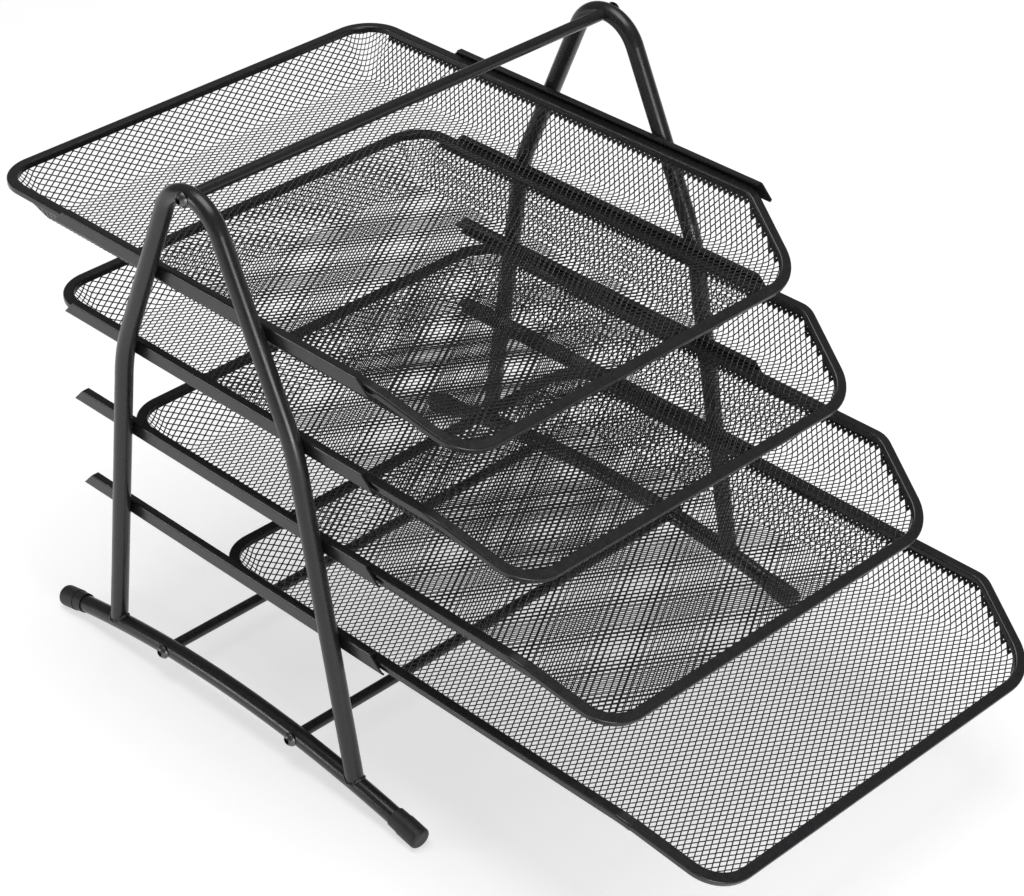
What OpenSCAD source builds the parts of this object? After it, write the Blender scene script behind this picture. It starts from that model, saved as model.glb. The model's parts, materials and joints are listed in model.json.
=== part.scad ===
// Four-tier sliding letter tray rack: two bent-tube side frames joined by
// three crossbars, C-channel rails welded to the frames, and four expanded
// metal trays whose folded rims slide in the rails.
// +Z is up, the trays pull out towards -Y, and the floor is z = 0.

/* [Trays] */
// Width over the rim
tray_w = 275; // [250:1:320]
// Length over the rim, front edge to rear edge
tray_l = 355; // [320:1:400]
// Depth from the rim's top to the mesh floor
tray_depth = 27; // [20:0.5:40]
// Inward run of the walls for each unit of height
wall_flare = 0.652; // [0.4:0.01:0.8]
// Radius of the floor's rear corners
floor_r = 4.2; // [2:0.2:12]
// Radius of the front corners, outside, in the sloping plane
front_r = 27; // [18:1:36]
// Distance from the front edge back to the bend of the side rims
bend_back = 49; // [40:1:70]
// Radius of the side rim's bend, outside
bend_r = 18; // [10:1:30]
// Height by which the front edge lies below the mesh floor
lip_fall = 0.6; // [0:0.1:1.2]

/* [Rim] */
// Width of the folded rim
rim_w = 6; // [4:0.5:9]
// Height of the folded rim
rim_h = 4; // [3:0.25:6]
// Edge radius of the folded rim
rim_edge_r = 1; // [0.5:0.1:1.4]
// Width of rim that lies inside the mesh
mesh_land = 1.2; // [0.6:0.1:2]
// Gap between the mesh's edge and the rim that it is welded to
mesh_seat = 0.1; // [0.05:0.05:0.2]

/* [Mesh] */
// Sheet thickness of the mesh
mesh_t = 0.8; // [0.5:0.1:1.5]
// Long diagonal of a mesh diamond
cell_long = 56; // [30:1:80]
// Short diagonal of a mesh diamond
cell_short = 28; // [15:1:40]
// Width of a mesh strand
strand_w = 4; // [2:0.5:6]
// Plain margin round each mesh panel
mesh_margin = 4; // [2:0.5:6]

/* [Tiers] */
// Distance from tray to tray
tier_pitch = 55.3; // [45:0.1:80]
// Height of the lowest rail's underside
lowest_rail_z = 92; // [60:1:120]
// How far the top tray stands out
pull_1 = 0; // [0:1:180]
// How far the second tray stands out
pull_2 = 41; // [0:1:180]
// How far the third tray stands out
pull_3 = 97; // [0:1:180]
// How far the lowest tray stands out
pull_4 = 169; // [0:1:180]

/* [Rails] */
// Sheet thickness of the rail
rail_t = 1; // [0.8:0.1:1.5]
// Width of the rail's top flange
rail_top_w = 4.2; // [3.5:0.1:6]
// Outer bend radius of the rail
rail_bend_r = 1.6; // [1.6:0.1:2.5]
// Reach of the rail's shorter end from the side frame's middle
rail_short = 120; // [115:1:150]
// Reach of the rail's longer end from the side frame's middle
rail_long = 127; // [115:1:150]
// Slant of the rail's shorter end
short_cut = 9.5; // [0:0.5:12]
// Slant of the rail's longer end
long_cut = 8; // [0:0.5:8]
// Reach of the rail's bottom flange, each way from the side frame's middle
flange_reach = 111; // [90:1:114]
// Gap under the rim, where it slides on the rail
slide_gap = 0.3; // [0.2:0.05:0.5]
// Play above the rim, inside the rail
lift_gap = 2.9; // [1.5:0.1:5]
// Gap between the rail's bottom flange and the tray's wall
wall_gap = 0.85; // [0.5:0.05:1.5]
// Gap between the rim's side and the rail's web
side_gap = 1.2; // [0.8:0.1:2]
// Gap between the closed tray's bend and the end of the bottom flange
stop_gap = 1.5; // [0.5:0.1:3]

/* [Side frames] */
// Diameter of the frame tube
tube_d = 10; // [8:0.5:14]
// Wall of the frame tube
tube_wall = 1; // [0.8:0.1:2]
// Height of the hoop's top above the top rail, to the tube's axis
hoop_rise = 66; // [50:1:100]
// Bend radius at the top of the hoop
hoop_r = 23.4; // [18:0.2:40]
// Lean of the upper legs from vertical, degrees
upper_lean = 24.5; // [15:0.5:28]
// Lean of the lower legs from vertical, degrees
lower_lean = 9.5; // [5:0.5:12]
// Height from the knee in the legs to the hoop's top
knee_drop = 116; // [100:1:130]
// Bend radius of the knee
knee_r = 120; // [60:5:160]

/* [Base] */
// Length of the bowed base tube, end to end
base_l = 294; // [270:1:360]
// Rise of the base tube's middle above its ends
base_rise = 15; // [8:0.5:25]
// Height of the legs' ends above the base tube's axis
foot_lift = 1.5; // [0:0.5:3]
// Gap between the foot cap and the base tube
cap_gap = 0.3; // [0.25:0.05:0.5]
// Wall of the foot cap's thick end
cap_wall = 0.9; // [0.8:0.05:2.5]
// Length of the foot cap's thick end
cap_body_l = 13; // [10:0.5:20]
// Length of the foot cap's collar
cap_collar_l = 7; // [4:0.5:12]
// Wall of the collar at the step
collar_wall = 0.55; // [0.5:0.05:0.7]
// Wall of the collar at its mouth
collar_lip = 0.4; // [0.3:0.05:0.45]
// Thickness of the closed end of the foot cap
cap_end_t = 4; // [3:0.5:7]
// Edge radius of the foot cap's closed end
cap_edge_r = 2; // [1:0.25:2.5]
// Depth of the flat worn on the foot cap's underside
cap_flat = 0.5; // [0.3:0.1:1]

/* [Crossbars] */
// Diameter of the crossbars
rod_d = 6.4; // [6:0.2:9]
// Distance between the two base crossbars
rod_spacing = 108; // [80:1:140]
// Screw shank diameter
screw_d = 4; // [3:0.5:4]
// Screw head diameter
screw_head_d = 8.4; // [6:0.2:9]
// Screw head height
screw_head_h = 3; // [2:0.2:4]
// Thread length in the crossbar
screw_grip = 12; // [8:1:20]
// Gap round the screw shank
screw_gap = 0.1; // [0.05:0.05:0.3]
// Gap at a seat that is welded or clamped
seat_gap = 0.05; // [0.02:0.01:0.1]
// Step in radius where a straight runs into a bend
bend_step = 0.02; // [0.01:0.01:0.03]
// Length by which a straight runs into a bend
bend_lap = 0.3; // [0.2:0.05:0.4]

/* [Hidden] */
$fn = 64;

LEFT = -1;
RIGHT = 1;
FRONT = -1;
REAR = 1;
POWDER_BLACK = [0.11, 0.11, 0.12];
MESH_BLACK = [0.16, 0.16, 0.17];
CAP_BLACK = [0.06, 0.06, 0.06];
SCREW_STEEL = [0.45, 0.45, 0.46];

// Tray, in its own frame: x from the middle, y from the front edge, z from the rim's top
pulls = [pull_1, pull_2, pull_3, pull_4];
slope_drop = tray_depth + lip_fall;
slope_a = atan(slope_drop / bend_back);
slope_l = norm([bend_back, slope_drop]);
slope_in = wall_flare * slope_drop;
taper_a = atan(slope_in / slope_l);
flare_a = atan(wall_flare);
wall_h = tray_depth - rim_h - mesh_seat;
wall_slope = wall_h / cos(flare_a);
wall_run = wall_flare * wall_h;
mesh_in = rim_w - mesh_land;
mesh_top_x = tray_w / 2 - mesh_in;
floor_x = mesh_top_x - wall_run;
floor_rear_y = tray_l - mesh_in - wall_run;
rear_r = floor_r + wall_run + mesh_in;
wall_rear_y = tray_l - rear_r;
wall_top_front_y = bend_back + rim_h * tan(slope_a / 2);
wall_low_front_y = bend_back - (tray_depth * cos(slope_a) - rim_h) / sin(slope_a);
front_arc_y = -slope_l + front_r;
front_arc_x = tray_w / 2 + (sin(taper_a) * front_arc_y - front_r) / cos(taper_a);
front_side_l = (front_r * sin(taper_a) - front_arc_y) / cos(taper_a);

// The side rim bends in the plane of the flared wall
bend_turn = acos(cos(taper_a) * cos(slope_a));
bend_t = bend_r * tan(bend_turn / 2);
bend_foot = bend_back + bend_t;
bend_lean = 90 - flare_a;
bend_up = cos(bend_turn) + pow(cos(bend_lean), 2) * (1 - cos(bend_turn));
bend_twist = acos(sin(slope_a) * sin(bend_lean) * sin(bend_turn) + cos(slope_a) * bend_up);

// Rails, hoops and base, about the side frames' middle
rail_face_x = tray_w / 2 + side_gap + rail_t;
rail_h = 2 * rail_t + slide_gap + rim_h + lift_gap;
rail_bottom_w = rail_t + side_gap + mesh_in - mesh_t / cos(flare_a) - wall_gap;
hoop_top_z = rail_z(1) + hoop_rise;
knee_z = hoop_top_z - knee_drop;
tube_r = tube_d / 2;
frame_x = rail_face_x + seat_gap + tube_r;
closed_front_y = -flange_reach - stop_gap - bend_foot;
lip_round = rim_edge_r * (cos(slope_a) + sin(slope_a) - 1);
front_most = closed_front_y + lip_round - max(pulls);
rear_most = closed_front_y + tray_l - min(pulls);
frame_y = -(front_most + rear_most) / 2;
hoop_c_z = hoop_top_z - hoop_r;
knee_y = (hoop_r - (knee_z - hoop_c_z) * sin(upper_lean)) / cos(upper_lean);
knee_turn = upper_lean - lower_lean;
knee_reach = knee_r * tan(knee_turn / 2);
base_r = (pow(base_l / 2, 2) + pow(base_rise, 2)) / (2 * base_rise);
base_a = asin(base_l / 2 / base_r);
cap_bore_r = tube_r + cap_gap;
cap_r = cap_bore_r + cap_wall;
base_z = base_rise + cap_r * cos(base_a) + (cap_end_t - cap_edge_r) * sin(base_a) - cap_flat;
rod_r = rod_d / 2;
rod_z = base_z - (base_r - sqrt(pow(base_r, 2) - pow(rod_spacing / 2, 2)));
leg_near_y = knee_y + (knee_z - base_z) * tan(lower_lean);
leg_foot_z = base_z - (base_r - sqrt(pow(base_r, 2) - pow(leg_near_y, 2))) + foot_lift;
leg_foot_y = knee_y + (knee_z - leg_foot_z) * tan(lower_lean);

function bend_fn(r) = max(96, 4 * round(4 * sqrt(r)));
function rail_z(tier) = lowest_rail_z + (4 - tier) * tier_pitch;
function rim_top_z(tier) = rail_z(tier) + rail_t + slide_gap + rim_h;
function tray_y(tier) = frame_y + closed_front_y - pulls[tier - 1];

// Draws in the side frame's own plane: x becomes +Y, y becomes +Z
module in_side_plane(x) {
    translate([x, frame_y, 0])
        rotate([90, 0, 90])
            children();
}

// Round bar of radius r between two points of the side plane
module bar(p, q, r) {
    d = q - p;
    translate([p.x, p.y, 0])
        rotate([0, 90, atan2(d.y, d.x)])
            cylinder(h = norm(d), r = r);
}

// Bent round bar of radius r about a centre of the side plane
module bend(c, bend_r, from_a, turn_a, r) {
    translate([c.x, c.y, 0])
        rotate(from_a)
            rotate_extrude(angle = turn_a, $fn = bend_fn(bend_r))
                translate([bend_r, 0])
                    circle(r = r, $fn = 64);
}

// One leg of the hoop: upper straight, knee and lower straight
module leg(r) {
    up = [-sin(upper_lean), cos(upper_lean)];
    down = [sin(lower_lean), -cos(lower_lean)];
    out = [cos(upper_lean), sin(upper_lean)];
    knee = [knee_y, knee_z];
    bar(knee + (knee_reach - bend_lap) * up, [0, hoop_c_z] + hoop_r * out + bend_lap * up, r);
    bend(knee + knee_reach * up - knee_r * out, knee_r, lower_lean, knee_turn, r + bend_step);
    bar([leg_foot_y, leg_foot_z], knee + (knee_reach - bend_lap) * down, r);
}

// Whole hoop as a solid bar of radius r
module hoop(r) {
    bend([0, hoop_c_z], hoop_r, upper_lean, 180 - 2 * upper_lean, r + bend_step);
    leg(r);
    mirror([1, 0, 0]) leg(r);
}

// Bowed base bar of radius r
module base_bar(r) {
    bend([0, base_z - base_r], base_r, 90 - base_a, 2 * base_a, r);
}

// Screw holes through a side frame: one at the hoop's top
module top_hole() {
    translate([0, hoop_top_z, -tube_d])
        cylinder(h = 2 * tube_d, d = screw_d + 2 * screw_gap);
}

// Screw holes through a base tube: one for each base crossbar
module base_holes() {
    for (s = [FRONT, REAR])
        translate([s * rod_spacing / 2, rod_z, -tube_d])
            cylinder(h = 2 * tube_d, d = screw_d + 2 * screw_gap);
}

// Bent-tube hoop, its legs coped onto the base tube
module side_frame(side) {
    color(POWDER_BLACK)
        in_side_plane(side * frame_x)
            difference() {
                hoop(tube_r);
                hoop(tube_r - tube_wall);
                base_bar(tube_r + seat_gap);
                top_hole();
            }
}

// Bowed tube that the hoop stands on
module base_tube(side) {
    color(POWDER_BLACK)
        in_side_plane(side * frame_x)
            difference() {
                base_bar(tube_r);
                base_bar(tube_r - tube_wall);
                base_holes();
            }
}

// Outline of the foot cap, for turning about its axis
module cap_profile() {
    deep = cap_body_l - cap_end_t;
    collar_r = cap_bore_r + collar_wall;
    edge = [for (a = [0 : 22.5 : 90]) [
        cap_r - cap_edge_r * (1 - cos(a)),
        cap_body_l - cap_edge_r * (1 - sin(a))
    ]];
    polygon(concat(
        [[cap_bore_r, -cap_collar_l], [cap_bore_r + collar_lip, -cap_collar_l]],
        [[collar_r, -cap_collar_l / 8], [collar_r, 0], [cap_r, 0]],
        edge,
        [[0, cap_body_l], [0, deep], [cap_bore_r, deep]]
    ));
}

// Plastic cap pushed over the end of the base tube
module foot_cap(side, end) {
    color(CAP_BLACK)
        difference() {
            in_side_plane(side * frame_x)
                translate([0, base_z - base_r])
                    rotate(-end * base_a)
                        translate([0, base_r])
                            rotate([0, end * 90, 0])
                                translate([0, 0, cap_end_t - cap_body_l + seat_gap])
                                    rotate_extrude()
                                        cap_profile();
            translate([side * frame_x, frame_y + end * base_l / 2, -2 * cap_r])
                cube([8 * cap_r, 12 * cap_r, 4 * cap_r], center = true);
        }
}

// Crossbar along X with threaded ends, coped onto both side frames
module crossbar() {
    rotate([0, 90, 0])
        difference() {
            cylinder(h = 2 * frame_x, r = rod_r, center = true);
            for (s = [LEFT, RIGHT])
                translate([0, 0, s * (frame_x - tube_r - screw_grip / 2)])
                    cylinder(h = screw_grip + 2 * tube_d, d = screw_d + screw_gap, center = true);
        }
}

module top_crossbar() {
    color(POWDER_BLACK)
        difference() {
            translate([0, frame_y, hoop_top_z]) crossbar();
            for (s = [LEFT, RIGHT])
                in_side_plane(s * frame_x)
                    bend([0, hoop_c_z], hoop_r, upper_lean, 180 - 2 * upper_lean, tube_r + seat_gap);
        }
}

module base_crossbar(end) {
    color(POWDER_BLACK)
        difference() {
            translate([0, frame_y + end * rod_spacing / 2, rod_z]) crossbar();
            for (s = [LEFT, RIGHT])
                in_side_plane(s * frame_x)
                    base_bar(tube_r + seat_gap);
        }
}

// Dome-head socket screw along +X, its head's underside at x = 0
module screw() {
    dome_r = (pow(screw_head_d / 2, 2) + pow(screw_head_h, 2)) / (2 * screw_head_h);
    rotate([0, 90, 0])
        difference() {
            union() {
                cylinder(h = tube_d + screw_grip - 1, d = screw_d);
                intersection() {
                    translate([0, 0, -screw_head_h]) cylinder(h = screw_head_h, d = screw_head_d);
                    translate([0, 0, dome_r - screw_head_h]) sphere(r = dome_r);
                }
            }
            translate([0, 0, -screw_head_h - 1])
                cylinder(h = screw_head_h, d = screw_head_d / 2, $fn = 6);
        }
}

// A pair of screws, one through each side frame
module screw_pair(y, z) {
    for (s = [LEFT, RIGHT])
        translate([s * (frame_x + tube_r + seat_gap), y, z])
            mirror([s > 0 ? 1 : 0, 0, 0])
                screw();
}

module top_screws() {
    color(SCREW_STEEL)
        screw_pair(frame_y, hoop_top_z);
}

module base_screws() {
    color(SCREW_STEEL)
        for (s = [FRONT, REAR])
            screw_pair(frame_y + s * rod_spacing / 2, rod_z);
}

// C-channel section: x inwards from the outer face, y up from the underside
module rail_section() {
    difference() {
        union() {
            translate([0, rail_bend_r]) square([rail_bottom_w, rail_h - 2 * rail_bend_r]);
            translate([rail_bend_r, 0]) square([rail_bottom_w - rail_bend_r, rail_h]);
            for (y = [rail_bend_r, rail_h - rail_bend_r])
                translate([rail_bend_r, y]) circle(r = rail_bend_r);
        }
        translate([rail_t, rail_t])
            square([rail_bottom_w, rail_h - 2 * rail_t]);
        translate([rail_top_w, rail_h / 2])
            square([rail_bottom_w, rail_h]);
    }
}

// Side view of a rail, its ends cut on a slant: x along the rail, y up
module rail_outline() {
    polygon([
        [-rail_short, 0], [rail_long, 0], [rail_long, rail_t],
        [rail_long - long_cut, rail_h], [short_cut - rail_short, rail_h], [-rail_short, rail_t]
    ]);
}

// Rail on one side for one tray; both sides have the same part, turned round
module rail(side, tier) {
    color(POWDER_BLACK)
        translate([0, frame_y, rail_z(tier)])
            rotate(side > 0 ? 180 : 0)
                translate([-rail_face_x, 0, 0])
                    difference() {
                        intersection() {
                            translate([0, rail_long, 0])
                                rotate([90, 0, 0])
                                    linear_extrude(rail_short + rail_long)
                                        rail_section();
                            rotate([90, 0, 90])
                                linear_extrude(rail_bottom_w)
                                    rail_outline();
                        }
                        translate([rail_bend_r, flange_reach, -1])
                            cube([rail_bottom_w, rail_long, 1 + rail_h / 2]);
                        translate([rail_bend_r, -flange_reach - rail_short, -1])
                            cube([rail_bottom_w, rail_short, 1 + rail_h / 2]);
                    }
}

// Folded rim section, outer top edge at the origin, grown all round
module rim_section(grow) {
    r = rim_edge_r;
    w = rim_w + 2 * grow;
    h = rim_h + 2 * grow;
    translate([grow - w, grow - h]) {
        translate([r, 0]) square([w - 2 * r, h]);
        translate([0, r]) square([w, h - 2 * r]);
        for (x = [r, w - r], y = [r, h - r])
            translate([x, y]) circle(r = r, $fn = 32);
    }
}

// Straight length of rim along +Y on the right-hand side
module rim_straight(from_y, to_y, grow = 0) {
    translate([0, to_y, 0])
        rotate([90, 0, 0])
            linear_extrude(to_y - from_y)
                rim_section(grow);
}

// Curved length of rim about the origin
module rim_curve(r, from_a, turn_a, grow = 0) {
    rotate(from_a)
        rotate_extrude(angle = turn_a, $fn = 96)
            translate([r, 0])
                rim_section(grow + bend_step);
}

// Bend of the right-hand rim from level to sloping, its twist shared between the two ends
module rim_bend(grow = 0) {
    centre = [rim_w / 2, rim_h / 2];
    translate([tray_w / 2 - bend_r * cos(bend_lean), bend_foot, -bend_r * sin(bend_lean)])
        rotate([0, -bend_lean, 0])
            rotate(-bend_turn)
                rotate_extrude(angle = bend_turn, $fn = 96)
                    translate([bend_r, 0])
                        rotate(-bend_lean)
                            translate(-centre)
                                rotate(-bend_twist / 2)
                                    translate(centre)
                                        rim_section(grow + bend_step);
}

// Level rear part of the rim
module rim_rear() {
    x = tray_w / 2 - rear_r;
    for (s = [0, 1])
        mirror([s, 0, 0]) {
            translate([tray_w / 2, 0, 0]) rim_straight(bend_foot - bend_lap, wall_rear_y + bend_lap);
            translate([x, wall_rear_y, 0]) rim_curve(rear_r, 0, 90);
        }
    translate([0, tray_l, 0])
        rotate(90)
            rim_straight(-x - bend_lap, x + bend_lap);
}

// Sloping front part of the rim, in the plane that tips down at the bend
module rim_front(grow = 0) {
    for (s = [0, 1])
        mirror([s, 0, 0]) rim_bend(grow);
    translate([0, bend_back, 0])
        rotate([slope_a, 0, 0]) {
            for (s = [0, 1])
                mirror([s, 0, 0]) {
                    translate([tray_w / 2, 0, 0])
                        rotate(-taper_a)
                            rim_straight(-front_side_l - bend_lap, bend_lap - bend_t, grow);
                    translate([front_arc_x, front_arc_y, 0])
                        rim_curve(front_r, -90, 90 - taper_a, grow);
                }
            translate([0, -slope_l, 0])
                rotate(-90)
                    rim_straight(-front_arc_x - bend_lap, front_arc_x + bend_lap, grow);
        }
}

module rim_body() {
    rim_rear();
    rim_front();
}

// Field of diamonds over a w by h panel whose lower left corner is the origin
module diamonds(w, h) {
    nx = max(1, round(w / cell_long));
    ny = max(1, round(h / cell_short));
    px = w / nx;
    py = h / ny;
    shrink = 1 - strand_w * norm([px, py]) / (px * py);
    a = px / 2 * shrink;
    b = py / 2 * shrink;
    for (i = [0 : 2 * nx], j = [0 : 2 * ny])
        if ((i + j) % 2 == 1)
            translate([i * px / 2, j * py / 2])
                polygon([[a, 0], [0, b], [-a, 0], [0, -b]]);
}

// Net panel: a sheet with the outline of the first child, open inside the second
module net_sheet(w, h) {
    linear_extrude(mesh_t)
        difference() {
            children(0);
            intersection() {
                children(1);
                diamonds(w, h);
            }
        }
}

// Floor outline with its rear corners rounded, drawn in by a margin
module floor_outline(inset) {
    front_y = rim_w / 2 + inset;
    r = max(0.5, floor_r - inset);
    x = floor_x - inset;
    y = floor_rear_y - inset;
    translate([-x, front_y]) square([2 * x, y - r - front_y]);
    translate([-x + r, front_y]) square([2 * x - 2 * r, y - front_y]);
    for (s = [-1, 1])
        translate([s * (x - r), y - r]) circle(r = r);
}

// Side wall outline in its own plane: x along the wall from the front, y up the slope
module side_wall_outline(inset) {
    run = wall_top_front_y - wall_low_front_y;
    l = wall_rear_y - wall_low_front_y;
    lean = inset * norm([run, wall_slope]) / wall_slope;
    polygon([
        [lean + run * inset / wall_slope, inset],
        [l - inset, inset],
        [l - inset, wall_slope - inset],
        [lean + run * (wall_slope - inset) / wall_slope, wall_slope - inset]
    ]);
}

module tray_floor_sheet() {
    difference() {
        translate([0, 0, -tray_depth - mesh_t])
            linear_extrude(mesh_t)
                difference() {
                    floor_outline(0);
                    intersection() {
                        floor_outline(mesh_margin);
                        translate([-floor_x, 0]) diamonds(2 * floor_x, floor_rear_y);
                    }
                }
        rim_front(mesh_seat);
    }
}

// Right-hand wall, leaning outwards from the floor's edge to the rim
module side_wall_sheet() {
    l = wall_rear_y - wall_low_front_y;
    difference() {
        translate([floor_x, wall_low_front_y, -tray_depth])
            rotate([0, flare_a, 0])
                rotate([90, 0, 90])
                    net_sheet(l, wall_slope) {
                        side_wall_outline(0);
                        side_wall_outline(mesh_margin);
                    }
        rim_front(mesh_seat);
    }
}

module rear_wall_sheet() {
    w = tray_w - 2 * rear_r;
    translate([w / 2, floor_rear_y, -tray_depth])
        rotate([-flare_a, 0, 0])
            rotate([90, 0, 180])
                net_sheet(w, wall_slope) {
                    square([w, wall_slope]);
                    translate([mesh_margin, mesh_margin])
                        square([w - 2 * mesh_margin, wall_slope - 2 * mesh_margin]);
                }
}

// Right-hand rear corner: a quarter cone with slots up its slope
module corner_sheet() {
    t = mesh_t / cos(flare_a);
    slot_w = 2 * strand_w / 3;
    translate([tray_w / 2 - rear_r, wall_rear_y, 0])
        difference() {
            rotate_extrude(angle = 90, $fn = 96)
                polygon([
                    [floor_r, -tray_depth],
                    [floor_r + wall_run, wall_h - tray_depth],
                    [floor_r + wall_run + t, wall_h - tray_depth],
                    [floor_r + t, -tray_depth]
                ]);
            for (a = [22.5, 45, 67.5])
                rotate(a)
                    translate([floor_r + 0.35 * wall_run, -slot_w / 2, -tray_depth + 0.35 * wall_h])
                        cube([rear_r, slot_w, 0.5 * wall_h]);
        }
}

module in_tray(tier) {
    translate([0, tray_y(tier), rim_top_z(tier)])
        children();
}

module tray_rim(tier) {
    color(POWDER_BLACK)
        in_tray(tier)
            rim_body();
}

module tray_floor(tier) {
    color(MESH_BLACK)
        in_tray(tier)
            tray_floor_sheet();
}

module tray_rear_wall(tier) {
    color(MESH_BLACK)
        in_tray(tier)
            rear_wall_sheet();
}

module tray_side_wall(tier, side) {
    color(MESH_BLACK)
        in_tray(tier)
            mirror([side < 0 ? 1 : 0, 0, 0])
                side_wall_sheet();
}

module tray_corner(tier, side) {
    color(MESH_BLACK)
        in_tray(tier)
            mirror([side < 0 ? 1 : 0, 0, 0])
                corner_sheet();
}

side_frame(LEFT);  // left_side_frame
side_frame(RIGHT);  // right_side_frame
base_tube(LEFT);  // left_base_tube
base_tube(RIGHT);  // right_base_tube
foot_cap(LEFT, FRONT);  // front_left_foot_cap
foot_cap(LEFT, REAR);  // rear_left_foot_cap
foot_cap(RIGHT, FRONT);  // front_right_foot_cap
foot_cap(RIGHT, REAR);  // rear_right_foot_cap
top_crossbar();
base_crossbar(REAR);  // rear_base_crossbar
base_crossbar(FRONT);  // front_base_crossbar
top_screws();
base_screws();
rail(LEFT, 1);  // left_rail_1
rail(LEFT, 2);  // left_rail_2
rail(LEFT, 3);  // left_rail_3
rail(LEFT, 4);  // left_rail_4
rail(RIGHT, 1);  // right_rail_1
rail(RIGHT, 2);  // right_rail_2
rail(RIGHT, 3);  // right_rail_3
rail(RIGHT, 4);  // right_rail_4
tray_rim(1);  // tray_1_rim
tray_floor(1);  // tray_1_floor
tray_rear_wall(1);  // tray_1_rear_wall
tray_side_wall(1, LEFT);  // tray_1_left_wall
tray_side_wall(1, RIGHT);  // tray_1_right_wall
tray_corner(1, LEFT);  // tray_1_left_corner
tray_corner(1, RIGHT);  // tray_1_right_corner
tray_rim(2);  // tray_2_rim
tray_floor(2);  // tray_2_floor
tray_rear_wall(2);  // tray_2_rear_wall
tray_side_wall(2, LEFT);  // tray_2_left_wall
tray_side_wall(2, RIGHT);  // tray_2_right_wall
tray_corner(2, LEFT);  // tray_2_left_corner
tray_corner(2, RIGHT);  // tray_2_right_corner
tray_rim(3);  // tray_3_rim
tray_floor(3);  // tray_3_floor
tray_rear_wall(3);  // tray_3_rear_wall
tray_side_wall(3, LEFT);  // tray_3_left_wall
tray_side_wall(3, RIGHT);  // tray_3_right_wall
tray_corner(3, LEFT);  // tray_3_left_corner
tray_corner(3, RIGHT);  // tray_3_right_corner
tray_rim(4);  // tray_4_rim
tray_floor(4);  // tray_4_floor
tray_rear_wall(4);  // tray_4_rear_wall
tray_side_wall(4, LEFT);  // tray_4_left_wall
tray_side_wall(4, RIGHT);  // tray_4_right_wall
tray_corner(4, LEFT);  // tray_4_left_corner
tray_corner(4, RIGHT);  // tray_4_right_corner
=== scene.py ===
import json
import math

import bpy
import numpy as np
from mathutils import Matrix, Vector


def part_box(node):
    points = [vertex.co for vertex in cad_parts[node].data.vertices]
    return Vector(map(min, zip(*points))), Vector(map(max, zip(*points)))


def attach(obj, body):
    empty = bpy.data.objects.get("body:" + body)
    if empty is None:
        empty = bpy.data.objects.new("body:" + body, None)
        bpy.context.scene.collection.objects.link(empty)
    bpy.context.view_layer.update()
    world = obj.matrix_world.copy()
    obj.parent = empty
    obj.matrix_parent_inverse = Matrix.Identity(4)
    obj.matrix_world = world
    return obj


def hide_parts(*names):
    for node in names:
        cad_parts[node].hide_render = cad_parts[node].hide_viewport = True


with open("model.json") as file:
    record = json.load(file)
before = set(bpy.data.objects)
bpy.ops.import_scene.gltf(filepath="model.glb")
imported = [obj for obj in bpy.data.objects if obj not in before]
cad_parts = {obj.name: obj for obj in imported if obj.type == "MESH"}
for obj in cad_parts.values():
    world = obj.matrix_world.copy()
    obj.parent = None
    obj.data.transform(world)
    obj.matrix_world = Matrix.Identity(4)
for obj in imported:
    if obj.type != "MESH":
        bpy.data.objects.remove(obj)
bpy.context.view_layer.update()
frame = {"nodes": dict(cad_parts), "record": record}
MM = 0.001
TIERS = (1, 2, 3, 4)
PANELS = ("floor", "rear_wall", "left_wall", "right_wall", "left_corner", "right_corner")

# Tray in millimetres, in its own frame: x from the middle, y from the front edge, z from the rim's top.
# FLARE is a wall's lean outwards for its height. The rim bends down BEND_BACK behind the front edge.
TRAY_W, TRAY_L, DEPTH = 275.0, 355.0, 27.0
FLARE = 0.652
RIM_W, RIM_H = 6.0, 4.0
MESH_LAND, MESH_SEAT = 1.2, 0.1
FLOOR_R = 4.2
BEND_BACK, LIP_FALL = 49.0, 0.6
FRONT_R = 27.0
RAIL_T, SLIDE_GAP = 1.0, 0.3

# Walls and floor that follow from these
FLARE_A = math.atan(FLARE)
MESH_IN = RIM_W - MESH_LAND
WALL_H = DEPTH - RIM_H - MESH_SEAT
WALL_SLOPE = WALL_H / math.cos(FLARE_A)
WALL_RUN = FLARE * WALL_H
FLOOR_X = TRAY_W / 2 - MESH_IN - WALL_RUN
FLOOR_REAR = TRAY_L - MESH_IN - WALL_RUN

# The rim's sloping front, its drawn-in sides and the middle of its front corner, in the sloping plane
DROP = DEPTH + LIP_FALL
SLOPE_A = math.atan(DROP / BEND_BACK)
SLOPE_L = math.hypot(DROP, BEND_BACK)
TAPER_A = math.atan(FLARE * DROP / SLOPE_L)
ARC_Y = FRONT_R - SLOPE_L
ARC_X = TRAY_W / 2 + (math.sin(TAPER_A) * ARC_Y - FRONT_R) / math.cos(TAPER_A)

# Expanded metal: long and short way of a diamond, strand and its tilt, the fold round the floor
LONG_WAY, SHORT_WAY = 6.1, 3.75
STRAND_W, STRAND_T = 0.62, 0.4
STRAND_TILT = math.radians(28)
FOLD_R = 4.0

# Where the basket meets the rim: how deep it bites, how much cut corners differ in that,
# and the height and opening of the half-closed row under the rim
BITE, STAGGER = 1.2, 0.05
HEM_H, HEM_OPEN = 2.2, 0.24

# Side frame in millimetres, from its own middle: tube, bowed base tube, foot of the leg
TUBE_R = 5.0
BASE_L, BASE_RISE = 294.0, 15.0
LEG_LEAN = math.radians(9.5)
LEG_FOOT_Y, LEG_FOOT_Z = 100.08, 15.68

# Weld bead: section, steps round the leg and round the bead, ripples as share of the section and waves
BEAD_R, BEAD_STEPS, BEAD_SIDES = 0.9, 96, 10
RIPPLES = ((0.12, 11), (0.08, 29))

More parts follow.
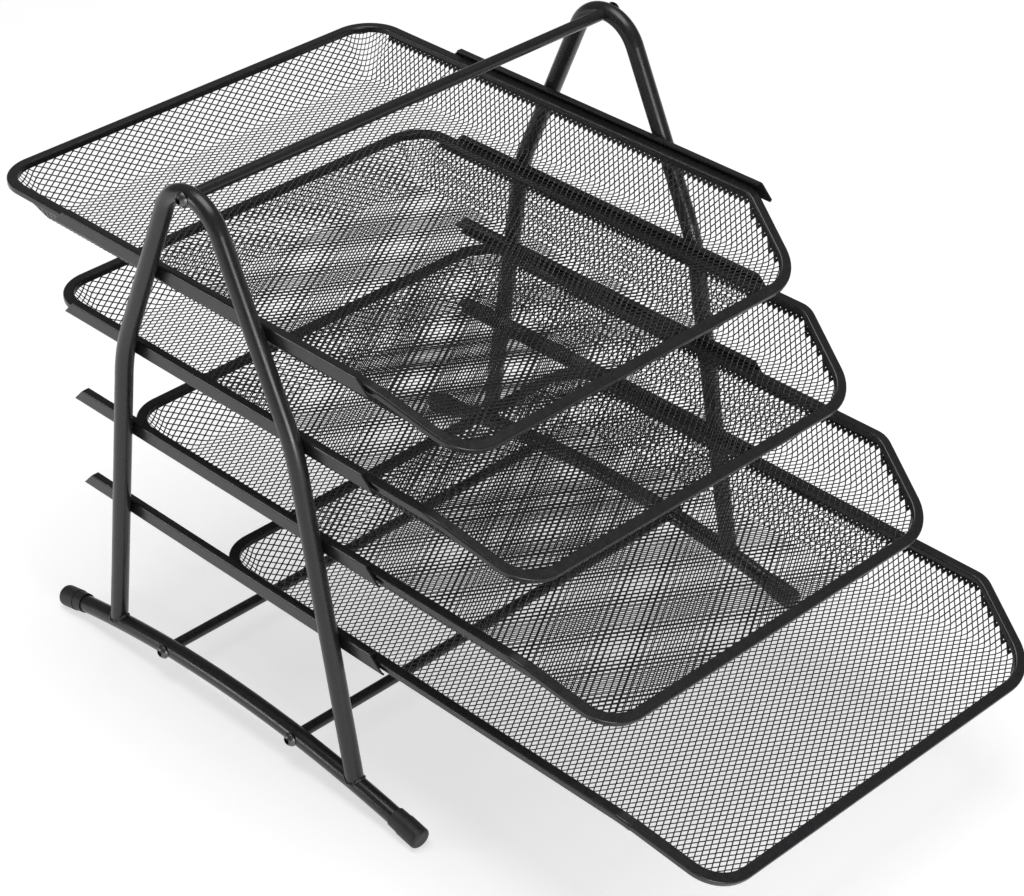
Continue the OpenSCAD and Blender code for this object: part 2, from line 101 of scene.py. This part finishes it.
# Searches by halving: steps for the basket's cut and the bead's path, and a length that stands for none
CUT_STEPS, BEAD_HALVINGS = 14, 24
NO_LENGTH = 1e-9

# Looks. A noise is its scale per metre, detail and roughness; a pair is what it grades from and to.
RAMP_STOPS = (0.3, 0.7)
GRAIN_DEPTH = 0.0002
COAT_SPECK, COAT_COLOUR = (700, 4, 0.65), ((0.010, 0.010, 0.011), (0.021, 0.021, 0.023))
COAT_DRIFT, COAT_ROUGH = (160, 3), (0.22, 0.32)
COAT_PEEL, COAT_PEEL_STRENGTH = (1500, 2, 0.6), 0.03
COAT_SPECULAR = 0.5
PLASTIC_GRAIN, PLASTIC_COLOUR = (1200, 3), ((0.014, 0.014, 0.014), (0.024, 0.024, 0.024))
PLASTIC_DRIFT, PLASTIC_ROUGH = (300, 3), (0.46, 0.58)
PLASTIC_GRAIN_STRENGTH = 0.25
PLASTIC_SPECULAR = 0.45
ZINC_SPECK, ZINC_COLOUR = (800, 3), ((0.10, 0.10, 0.105), (0.17, 0.17, 0.175))
ZINC_SCRATCH, ZINC_ROUGH = (1600, 3), (0.30, 0.42)

# Floor: half its side and its place below the object in metres, its grey, and the light it shows of its own
FLOOR_HALF, FLOOR_DROP = 60.0, 0.0002
FLOOR_GREY, FLOOR_LIFT = 0.6, 0.6
FLOOR_ROUGH, FLOOR_SPECULAR = 0.9, 0.1

# Light: a weak even world, and each softbox's name, place and size in metres, and brightness.
# The overhead one lights the whole, and the two low ones draw the streaks on the tubes.
WORLD_LIGHT = 0.15
LAMP_AIM = Vector((0, 0, 0.15))
LAMPS = (
    ("overhead", (0.0, 0.0, 2.6), (1.8, 1.8), 4.3),
    ("front_low", (-0.75, -2.45, 0.5), (1.1, 0.8), 10.0),
    ("left_low", (-2.1, 1.55, 0.6), (0.8, 0.5), 8.0),
)

# Camera of the photograph: angles, focal length and width in pixels, place and sensor in millimetres
AZIMUTH, ELEVATION, ROLL = math.radians(-43.568), math.radians(33.578), math.radians(-1.019)
FOCAL_PX, PHOTO_W = 2914.76, 1024
CAMERA_X, CAMERA_Y, CAMERA_Z = -892.75, -936.18, 1001.8
SENSOR = 36.0
CLIP_NEAR, CLIP_FAR = 0.05, 200


# Materials
def material(name, build):
    """New node material whose surface is one principled shader, set up by build."""
    made = bpy.data.materials.new(name)
    made.use_nodes = True
    tree = made.node_tree
    tree.nodes.clear()
    out = tree.nodes.new("ShaderNodeOutputMaterial")
    bsdf = tree.nodes.new("ShaderNodeBsdfPrincipled")
    tree.links.new(bsdf.outputs[0], out.inputs["Surface"])
    build(tree, bsdf)
    return made


def noise(tree, scale, detail, rough=0.5):
    """Solid noise in the object's own metres."""
    coord = tree.nodes.new("ShaderNodeTexCoord")
    made = tree.nodes.new("ShaderNodeTexNoise")
    made.inputs["Scale"].default_value = scale
    made.inputs["Detail"].default_value = detail
    made.inputs["Roughness"].default_value = rough
    tree.links.new(coord.outputs["Object"], made.inputs["Vector"])
    return made.outputs["Fac"]


def graded(tree, source, ends, socket):
    """Feeds a socket with a grey or colour that runs between two ends with the source."""
    made = tree.nodes.new("ShaderNodeValToRGB")
    for stop, place, value in zip(made.color_ramp.elements, RAMP_STOPS, ends):
        stop.position = place
        stop.color = (*value, 1) if isinstance(value, tuple) else (value, value, value, 1)
    tree.links.new(source, made.inputs["Fac"])
    tree.links.new(made.outputs["Color"], socket)


def bumped(tree, bsdf, source, strength):
    """Raises the surface's shading by the source."""
    made = tree.nodes.new("ShaderNodeBump")
    made.inputs["Strength"].default_value = strength
    made.inputs["Distance"].default_value = GRAIN_DEPTH
    tree.links.new(source, made.inputs["Height"])
    tree.links.new(made.outputs["Normal"], bsdf.inputs["Normal"])


def thin_powder(tree, bsdf):
    """Satin black powder coat on thin strands: slight drift of colour and sheen."""
    graded(tree, noise(tree, *COAT_SPECK), COAT_COLOUR, bsdf.inputs["Base Color"])
    graded(tree, noise(tree, *COAT_DRIFT), COAT_ROUGH, bsdf.inputs["Roughness"])
    bsdf.inputs["Specular IOR Level"].default_value = COAT_SPECULAR


def powder(tree, bsdf):
    """The same coat on tubes, rails and rims, with a grainy orange peel."""
    thin_powder(tree, bsdf)
    bumped(tree, bsdf, noise(tree, *COAT_PEEL), COAT_PEEL_STRENGTH)


def plastic(tree, bsdf):
    """Matte black moulded plastic with a fine spark-eroded grain."""
    grain = noise(tree, *PLASTIC_GRAIN)
    graded(tree, grain, PLASTIC_COLOUR, bsdf.inputs["Base Color"])
    graded(tree, noise(tree, *PLASTIC_DRIFT), PLASTIC_ROUGH, bsdf.inputs["Roughness"])
    bumped(tree, bsdf, grain, PLASTIC_GRAIN_STRENGTH)
    bsdf.inputs["Specular IOR Level"].default_value = PLASTIC_SPECULAR


def zinc(tree, bsdf):
    """Zinc plate with a dark, dull base colour and specks of sheen."""
    graded(tree, noise(tree, *ZINC_SPECK), ZINC_COLOUR, bsdf.inputs["Base Color"])
    graded(tree, noise(tree, *ZINC_SCRATCH), ZINC_ROUGH, bsdf.inputs["Roughness"])
    bsdf.inputs["Metallic"].default_value = 1.0


MAT = {
    "powder_black": material("powder_black", powder),
    "mesh_black": material("mesh_black", thin_powder),
    "cap_black": material("cap_black", plastic),
    "screw_steel": material("screw_steel", zinc),
}
SLOT = {s["node"]: s["material_slot"] for s in frame["record"]["subparts"]}
for name, ob in frame["nodes"].items():
    ob.data.materials.clear()
    ob.data.materials.append(MAT[SLOT[name]])


def piece(name, mesh, body):
    """A new visible piece that rides on a body."""
    made = bpy.data.objects.new(name, mesh)
    bpy.context.scene.collection.objects.link(made)
    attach(made, body)
    return made


def built(name, verts, faces, slot):
    """Mesh in metres from points in millimetres."""
    mesh = bpy.data.meshes.new(name)
    mesh.from_pydata((verts * MM).tolist(), [], faces)
    mesh.materials.append(MAT[slot])
    return mesh


# Mesh basket
def press(u, v):
    """Flat sheet (u, v) pressed into the basket: place and inward normal, in the tray's frame."""
    turn = math.pi / 2 - FLARE_A
    tangent = FOLD_R * math.tan(turn / 2)
    cx, cy = FLOOR_X - FLOOR_R, FLOOR_REAR - FLOOR_R
    du, dv = np.maximum(np.abs(u) - cx, 0), np.maximum(v - cy, 0)
    r = np.hypot(du, dv)
    safe = np.maximum(r, NO_LENGTH)
    ex, ey = np.sign(u) * du / safe, dv / safe
    past_fold = r - FLOOR_R + tangent
    lean = np.clip(past_fold / FOLD_R, 0, turn)
    wall = np.maximum(past_fold - FOLD_R * turn, 0)
    reach = np.minimum(r, FLOOR_R - tangent) + FOLD_R * np.sin(lean) + wall * math.sin(FLARE_A)
    x = np.clip(u, -cx, cx) + reach * ex
    y = np.minimum(v, cy) + reach * ey
    z = -DEPTH + FOLD_R * (1 - np.cos(lean)) + wall * math.cos(FLARE_A)
    normal = np.stack([-ex * np.sin(lean), -ey * np.sin(lean), np.cos(lean)], -1)
    return np.stack([x, y, z], -1), normal


def sunk(uv):
    """How far the sheet reaches up into the rim; below zero where it is still clear of it."""
    p, _ = press(uv[:, 0], uv[:, 1])
    x, dy, z = np.abs(p[:, 0]), p[:, 1] - BEND_BACK, p[:, 2]
    along = dy * math.cos(SLOPE_A) + z * math.sin(SLOPE_A)
    above = np.maximum(z, z * math.cos(SLOPE_A) - dy * math.sin(SLOPE_A)) + RIM_H
    side = (x - TRAY_W / 2) * math.cos(TAPER_A) - along * math.sin(TAPER_A) + RIM_W
    edge = np.maximum(side, RIM_W - along - SLOPE_L)
    arc = np.hypot(x - ARC_X, along - ARC_Y) - FRONT_R + RIM_W
    edge = np.where((x > ARC_X) & (along < ARC_Y), np.maximum(arc, edge), edge)
    return np.where(dy < 0, np.minimum(above, edge), above)


def lattice():
    """Corners of the diamond holes (u, v, lift), and quads for knuckles and strands between them."""
    half_u, half_v = LONG_WAY / 2, SHORT_WAY / 2
    share = 1 - STRAND_W * math.hypot(half_u, half_v) / (2 * half_u * half_v)
    lift = STRAND_W / 2 * math.sin(STRAND_TILT)
    nu = math.ceil((FLOOR_X + WALL_SLOPE + LONG_WAY) / half_u)
    nv = math.ceil((FLOOR_REAR + WALL_SLOPE + SHORT_WAY) / half_v)

    # Holes and knuckles take turns on the grid, like the colours of a chessboard
    i, j = np.meshgrid(np.arange(2 * nu + 1), np.arange(nv + 1), indexing="ij")
    hole = (i + j) % 2 == 1
    centre = np.stack([(i[hole] - nu) * half_u, (j[hole] - 1) * half_v, 0 * i[hole]], -1)
    arms = np.array([
        (share * half_u, 0, 0),
        (0, share * half_v, lift),
        (-share * half_u, 0, 0),
        (0, -share * half_v, -lift),
    ])
    on_side = (np.abs(centre[:, 0]) > FLOOR_X) & (centre[:, 1] < FLOOR_REAR)
    opened = np.where(on_side & (sunk(centre[:, :2]) > -HEM_H), HEM_OPEN, 1)
    corners = (centre[:, None] + arms * opened[:, None, None]).reshape(-1, 3)

    # Each knuckle joins the nearest corners of the four holes round it
    ids = np.full((*i.shape, 4), -1)
    ids[hole] = np.arange(len(corners)).reshape(-1, 4)
    inner = (~hole)[1:-1, 1:-1]
    right, left = ids[2:, 1:-1][inner].T, ids[:-2, 1:-1][inner].T
    above, below = ids[1:-1, 2:][inner].T, ids[1:-1, :-2][inner].T
    knuckles = (right[2], above[3], left[0], below[1])
    rising = (right[2], right[1], above[0], above[3])
    falling = (below[1], below[0], right[3], right[2])
    return corners, np.concatenate([np.stack(q, -1) for q in (knuckles, rising, falling)])


def basket_mesh():
    """One pressed sheet of expanded metal, closed all round, cut to run just into the rim."""
    corners, quads = lattice()
    depth = sunk(corners[:, :2])
    seen = depth < BITE
    stop = BITE + STAGGER * np.clip(depth - BITE, 0, SHORT_WAY)

    # Quads with a corner below the cut stay, and so do the knuckles between them
    near = seen[quads].any(1)
    uses = np.bincount(quads[near].ravel(), minlength=len(corners))
    knuckles = len(quads) // 3
    near[:knuckles] |= (uses[quads[:knuckles]] > 1).any(1)
    quads = quads[near]
    used, quads = np.unique(quads, return_inverse=True)
    quads = quads.reshape(-1, 4)

    # Corners past the cut move back towards the middle of the basket until they lie on it
    flat, lift = corners[used, :2], corners[used, 2:]
    home_u = np.clip(flat[:, 0], -ARC_X, ARC_X)
    home_v = np.clip(flat[:, 1], FRONT_R, FLOOR_REAR - FRONT_R)
    way = np.stack([home_u, home_v], -1) - flat
    lo, hi = np.zeros(len(flat)), np.ones(len(flat))
    for _ in range(CUT_STEPS):
        mid = (lo + hi) / 2
        out = sunk(flat + way * mid[:, None]) > stop[used]
        lo, hi = np.where(out, mid, lo), np.where(out, hi, mid)
    flat = flat + way * np.where(seen[used], 0, hi)[:, None]

    # Upper and lower faces of the sheet, and walls along the edges that only one quad has
    place, normal = press(flat[:, 0], flat[:, 1])
    verts = np.concatenate([place + normal * (lift + side * STRAND_T / 2) for side in (1, -1)])
    edges = np.stack([quads, np.roll(quads, -1, axis=1)], -1).reshape(-1, 2)
    key = edges.min(1) * len(flat) + edges.max(1)
    _, first, count = np.unique(key, return_index=True, return_counts=True)
    a, b = edges[first[count == 1]].T
    below = len(flat)
    walls = np.stack([a + below, b + below, b, a], -1)
    faces = np.concatenate([quads, quads[:, ::-1] + below, walls])
    return built("expanded_basket", verts, faces.tolist(), "mesh_black")


basket = basket_mesh()
for tier in TIERS:
    net = piece(f"tray_{tier}_mesh", basket, f"tray_{tier}")
    front_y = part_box(f"tray_{tier}_rim")[1][1] - TRAY_L * MM
    rim_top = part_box(f"left_rail_{tier}")[0][2] + (RAIL_T + SLIDE_GAP + RIM_H) * MM
    net.location = (0, front_y, rim_top)
    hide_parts(*[f"tray_{tier}_{panel}" for panel in PANELS])


# Weld beads where the legs stand on the base tubes
def weld_mesh(name, side_x, middle_y, end):
    """Rippled bead along the saddle where a leaning leg meets the bowed base tube."""
    base_r = ((BASE_L / 2) ** 2 + BASE_RISE ** 2) / (2 * BASE_RISE)
    hub_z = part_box("left_base_tube")[1][2] / MM - TUBE_R - base_r
    up = np.array([0, -end * math.sin(LEG_LEAN), math.cos(LEG_LEAN)])
    across = np.array([0, math.cos(LEG_LEAN), end * math.sin(LEG_LEAN)])
    turn = np.linspace(0, 2 * math.pi, BEAD_STEPS, endpoint=False)[:, None]
    out = np.cos(turn) * np.array([1, 0, 0]) + np.sin(turn) * across
    leg = np.array([side_x, middle_y + end * LEG_FOOT_Y, LEG_FOOT_Z]) + TUBE_R * out

    # Up the leg's surface to where it leaves the base tube
    low, high = np.zeros_like(turn), np.full_like(turn, 4 * TUBE_R)
    for _ in range(BEAD_HALVINGS):
        mid = (low + high) / 2
        p = leg + mid * up
        off_ring = np.hypot(p[:, 1] - middle_y, p[:, 2] - hub_z) - base_r
        inside = (np.hypot(p[:, 0] - side_x, off_ring) < TUBE_R)[:, None]
        low, high = np.where(inside, mid, low), np.where(inside, high, mid)
    path = leg + high * up

    # A rippled tube along that path
    along = np.roll(path, -1, axis=0) - np.roll(path, 1, axis=0)
    along /= np.linalg.norm(along, axis=1)[:, None]
    side = np.cross(along, out)
    size = BEAD_R * (1 + sum(share * np.sin(waves * turn) for share, waves in RIPPLES))
    spokes = np.linspace(0, 2 * math.pi, BEAD_SIDES, endpoint=False)
    verts = np.stack([path + size * (math.cos(a) * out + math.sin(a) * side) for a in spokes], 1)
    k, m = np.meshgrid(np.arange(BEAD_STEPS), np.arange(BEAD_SIDES), indexing="ij")
    here, there = k * BEAD_SIDES, (k + 1) % BEAD_STEPS * BEAD_SIDES
    m2 = (m + 1) % BEAD_SIDES
    faces = np.stack([here + m, here + m2, there + m2, there + m], -1).reshape(-1, 4)
    mesh = built(name, verts.reshape(-1, 3), faces.tolist(), "powder_black")
    mesh.polygons.foreach_set("use_smooth", [True] * len(mesh.polygons))
    return mesh


for side in ("left", "right"):
    low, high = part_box(f"{side}_side_frame")
    middle_x, middle_y = (low[0] + high[0]) / 2 / MM, (low[1] + high[1]) / 2 / MM
    for end, word in ((-1, "front"), (1, "rear")):
        name = f"{word}_{side}_weld"
        piece(name, weld_mesh(name, middle_x, middle_y, end), "frame")


# Floor: pale all over, whitened for what looks at it, with the object's shadow left in
def seen_directly(tree):
    """One for rays from the camera, a mirror or a glass, and zero for light that falls on the object."""
    path = tree.nodes.new("ShaderNodeLightPath")
    total = path.outputs["Is Camera Ray"]
    for kind in ("Is Glossy Ray", "Is Transmission Ray"):
        either = tree.nodes.new("ShaderNodeMath")
        either.operation = "MAXIMUM"
        tree.links.new(total, either.inputs[0])
        tree.links.new(path.outputs[kind], either.inputs[1])
        total = either.outputs[0]
    return total


def pale_floor(tree, bsdf):
    """Matt grey that shows some light of its own, which doesn't reach the object."""
    bsdf.inputs["Base Color"].default_value = (FLOOR_GREY, FLOOR_GREY, FLOOR_GREY, 1)
    bsdf.inputs["Roughness"].default_value = FLOOR_ROUGH
    bsdf.inputs["Specular IOR Level"].default_value = FLOOR_SPECULAR
    bsdf.inputs["Emission Color"].default_value = (1, 1, 1, 1)
    lift = tree.nodes.new("ShaderNodeMath")
    lift.operation = "MULTIPLY"
    lift.inputs[1].default_value = FLOOR_LIFT
    tree.links.new(seen_directly(tree), lift.inputs[0])
    tree.links.new(lift.outputs[0], bsdf.inputs["Emission Strength"])


scene = bpy.context.scene
floor_mesh = bpy.data.meshes.new("floor")
floor_corners = [(x * FLOOR_HALF, y * FLOOR_HALF, 0) for x, y in ((-1, -1), (1, -1), (1, 1), (-1, 1))]
floor_mesh.from_pydata(floor_corners, [], [(0, 1, 2, 3)])
floor_mesh.materials.append(material("floor_white", pale_floor))
floor = bpy.data.objects.new("floor", floor_mesh)
scene.collection.objects.link(floor)
floor.location = (0, 0, -FLOOR_DROP)

# Light
scene.view_settings.view_transform = "Standard"
world = bpy.data.worlds.new("studio")
scene.world = world
world.use_nodes = True
backdrop = world.node_tree.nodes["Background"]
backdrop.inputs["Color"].default_value = (1, 1, 1, 1)
backdrop.inputs["Strength"].default_value = WORLD_LIGHT


def softbox(name, place, size, brightness):
    """Rectangular lamp of the given brightness, aimed at the object and not itself in view."""
    data = bpy.data.lights.new(name, "AREA")
    data.shape = "RECTANGLE"
    data.size, data.size_y = size
    data.energy = brightness * math.pi * size[0] * size[1]
    lamp = bpy.data.objects.new(name, data)
    scene.collection.objects.link(lamp)
    lamp.location = place
    lamp.rotation_euler = (LAMP_AIM - Vector(place)).to_track_quat("-Z", "Y").to_euler()
    lamp.visible_camera = False


for lamp_row in LAMPS:
    softbox(*lamp_row)

# Camera
level = math.cos(ELEVATION)
back = Vector((math.sin(AZIMUTH) * level, -math.cos(AZIMUTH) * level, math.sin(ELEVATION)))
right = Vector((0, 0, 1)).cross(back).normalized()
up = back.cross(right)
rolled_right = math.cos(ROLL) * right + math.sin(ROLL) * up
rolled_up = math.cos(ROLL) * up - math.sin(ROLL) * right
cam_data = bpy.data.cameras.new("camera")
cam_data.sensor_fit = "HORIZONTAL"
cam_data.sensor_width = SENSOR
cam_data.lens = FOCAL_PX / PHOTO_W * SENSOR
cam_data.clip_start, cam_data.clip_end = CLIP_NEAR, CLIP_FAR
camera = bpy.data.objects.new("camera", cam_data)
scene.collection.objects.link(camera)
turned = Matrix((rolled_right, rolled_up, back)).transposed().to_4x4()
camera.matrix_world = Matrix.Translation(Vector((CAMERA_X, CAMERA_Y, CAMERA_Z)) * MM) @ turned
scene.camera = camera
